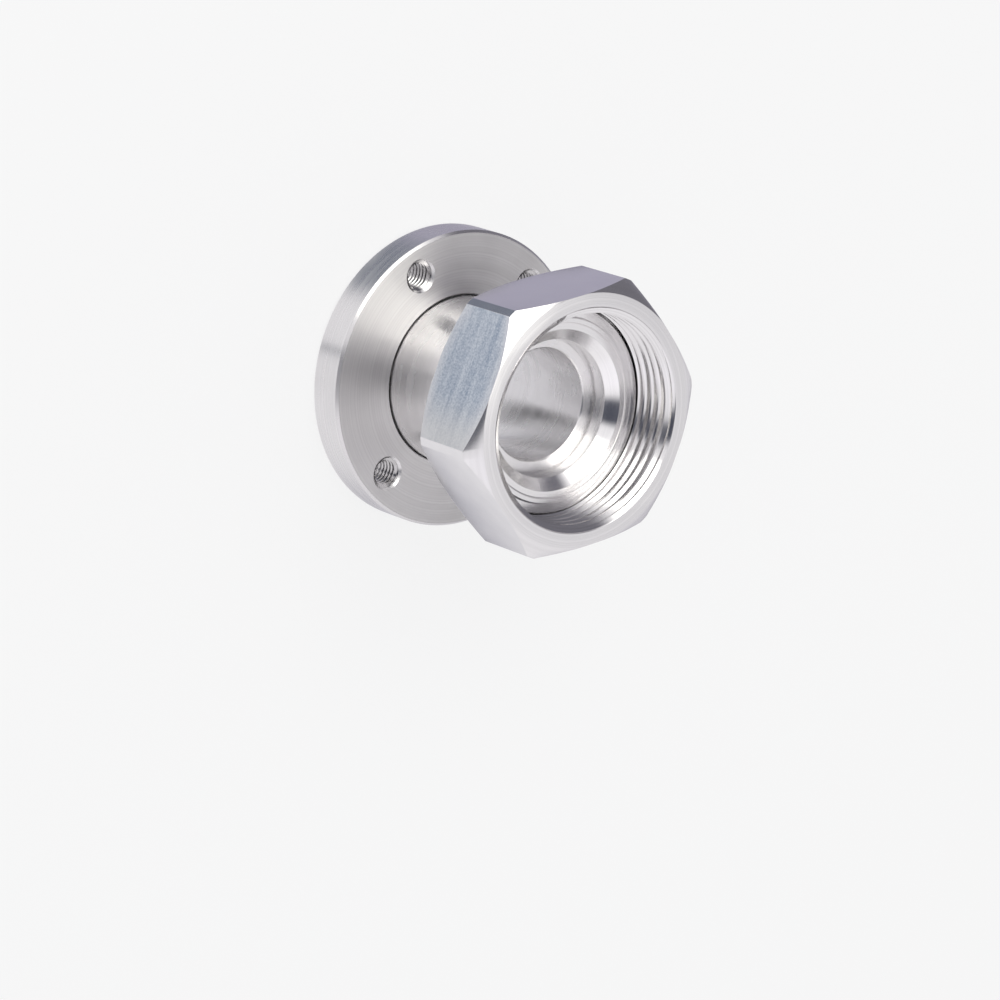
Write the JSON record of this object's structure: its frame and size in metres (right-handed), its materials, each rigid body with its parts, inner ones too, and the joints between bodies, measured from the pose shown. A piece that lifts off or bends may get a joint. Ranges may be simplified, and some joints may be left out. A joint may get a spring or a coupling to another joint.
{
  "type": "compressor adapter fitting",
  "caption": "Turned tube adapter with a loose bolting flange at its rear and a captive, inside-threaded hexagon swivel nut round a sealing collar at its front.",
  "frame": {"origin": "centre of the flange's rear face, on the axis of the bore", "axes": "+Z along the axis, from the flange towards the nut's mouth; X and Y along the sides of the rectangle of tapped holes"},
  "size_m": [0.0606, 0.0606, 0.0487],
  "materials": {
    "turned_steel": "fine-turned bright steel with rings round the axis",
    "flange_steel": "face-turned satin steel",
    "nut_steel": "drawn hexagon bar steel, turned at both ends",
    "spring_steel": "plain spring steel",
    "seal_rubber": "matt black rubber"
  },
  "bodies": {
    "spud": {"spud": "turned_steel", "retaining_ring": "spring_steel", "o_ring": "seal_rubber"},
    "flange": {"flange": "flange_steel"},
    "nut": {"swivel_nut": "nut_steel"}
  },
  "joints": [
    {"name": "nut_swivel", "type": "hinge", "parent": "spud", "child": "nut", "pos_m": [0, 0, 0.0394], "axis": [0, 0, 1], "continuous": true},
    {"name": "flange_swivel", "type": "hinge", "parent": "spud", "child": "flange", "pos_m": [0, 0, 0.004], "axis": [0, 0, 1], "continuous": true}
  ]
}
